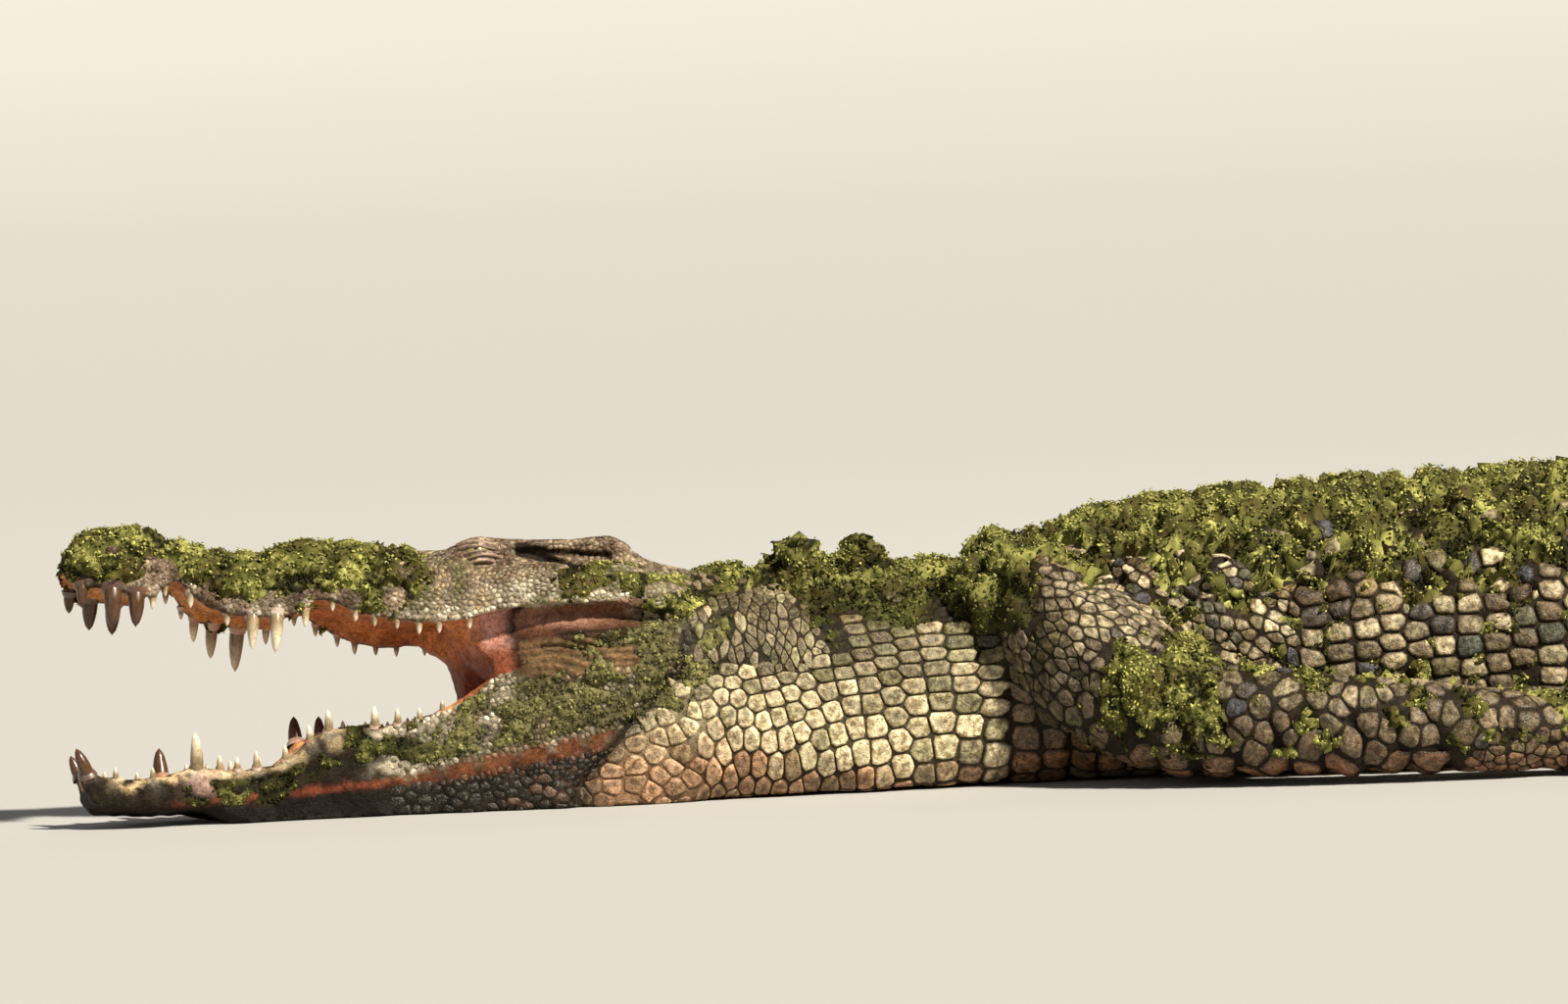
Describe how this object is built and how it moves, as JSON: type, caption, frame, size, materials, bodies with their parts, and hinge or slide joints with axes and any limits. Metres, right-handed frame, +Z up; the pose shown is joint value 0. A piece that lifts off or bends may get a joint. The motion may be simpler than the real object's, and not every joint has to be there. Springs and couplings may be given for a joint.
{
  "type": "saltwater crocodile",
  "caption": "Life-size crocodile lying on its belly with its head a little raised and its jaws held open.",
  "frame": {"origin": "on the floor under the middle of the belly", "axes": "+Z up, -X towards the head, -Y to the animal's left side"},
  "size_m": [4.1221, 1.2682, 0.3027],
  "materials": {
    "head_hide": "rough grey-brown hide with a green growth of weed",
    "body_hide": "matt scaled hide, cream and olive with dark grooves",
    "mouth_lining": "damp orange lining of the mouth",
    "eyes": "wet dark eye",
    "claws": "dark horn"
  },
  "bodies": {
    "root": {"upper_jaw": "head_hide", "skull": "head_hide", "lower_jaw": "head_hide", "eye_left": "eyes", "eye_right": "eyes", "tongue": "mouth_lining", "mouth_corner": "mouth_lining", "neck": "body_hide", "trunk": "body_hide", "tail_1": "body_hide", "tail_2": "body_hide", "tail_3": "body_hide", "tail_4": "body_hide", "front_left_upper_arm": "body_hide", "front_left_forearm": "body_hide", "front_left_hand": "body_hide", "front_left_hand_claw_1": "claws", "front_left_hand_claw_2": "claws", "front_left_hand_claw_3": "claws", "front_right_upper_arm": "body_hide", "front_right_forearm": "body_hide", "front_right_hand": "body_hide", "front_right_hand_claw_1": "claws", "front_right_hand_claw_2": "claws", "front_right_hand_claw_3": "claws", "hind_left_thigh": "body_hide", "hind_left_shank": "body_hide", "hind_left_foot": "body_hide", "hind_left_foot_claw_1": "claws", "hind_left_foot_claw_2": "claws", "hind_left_foot_claw_3": "claws", "hind_right_thigh": "body_hide", "hind_right_shank": "body_hide", "hind_right_foot": "body_hide", "hind_right_foot_claw_1": "claws", "hind_right_foot_claw_2": "claws", "hind_right_foot_claw_3": "claws"}
  },
  "joints": []
}
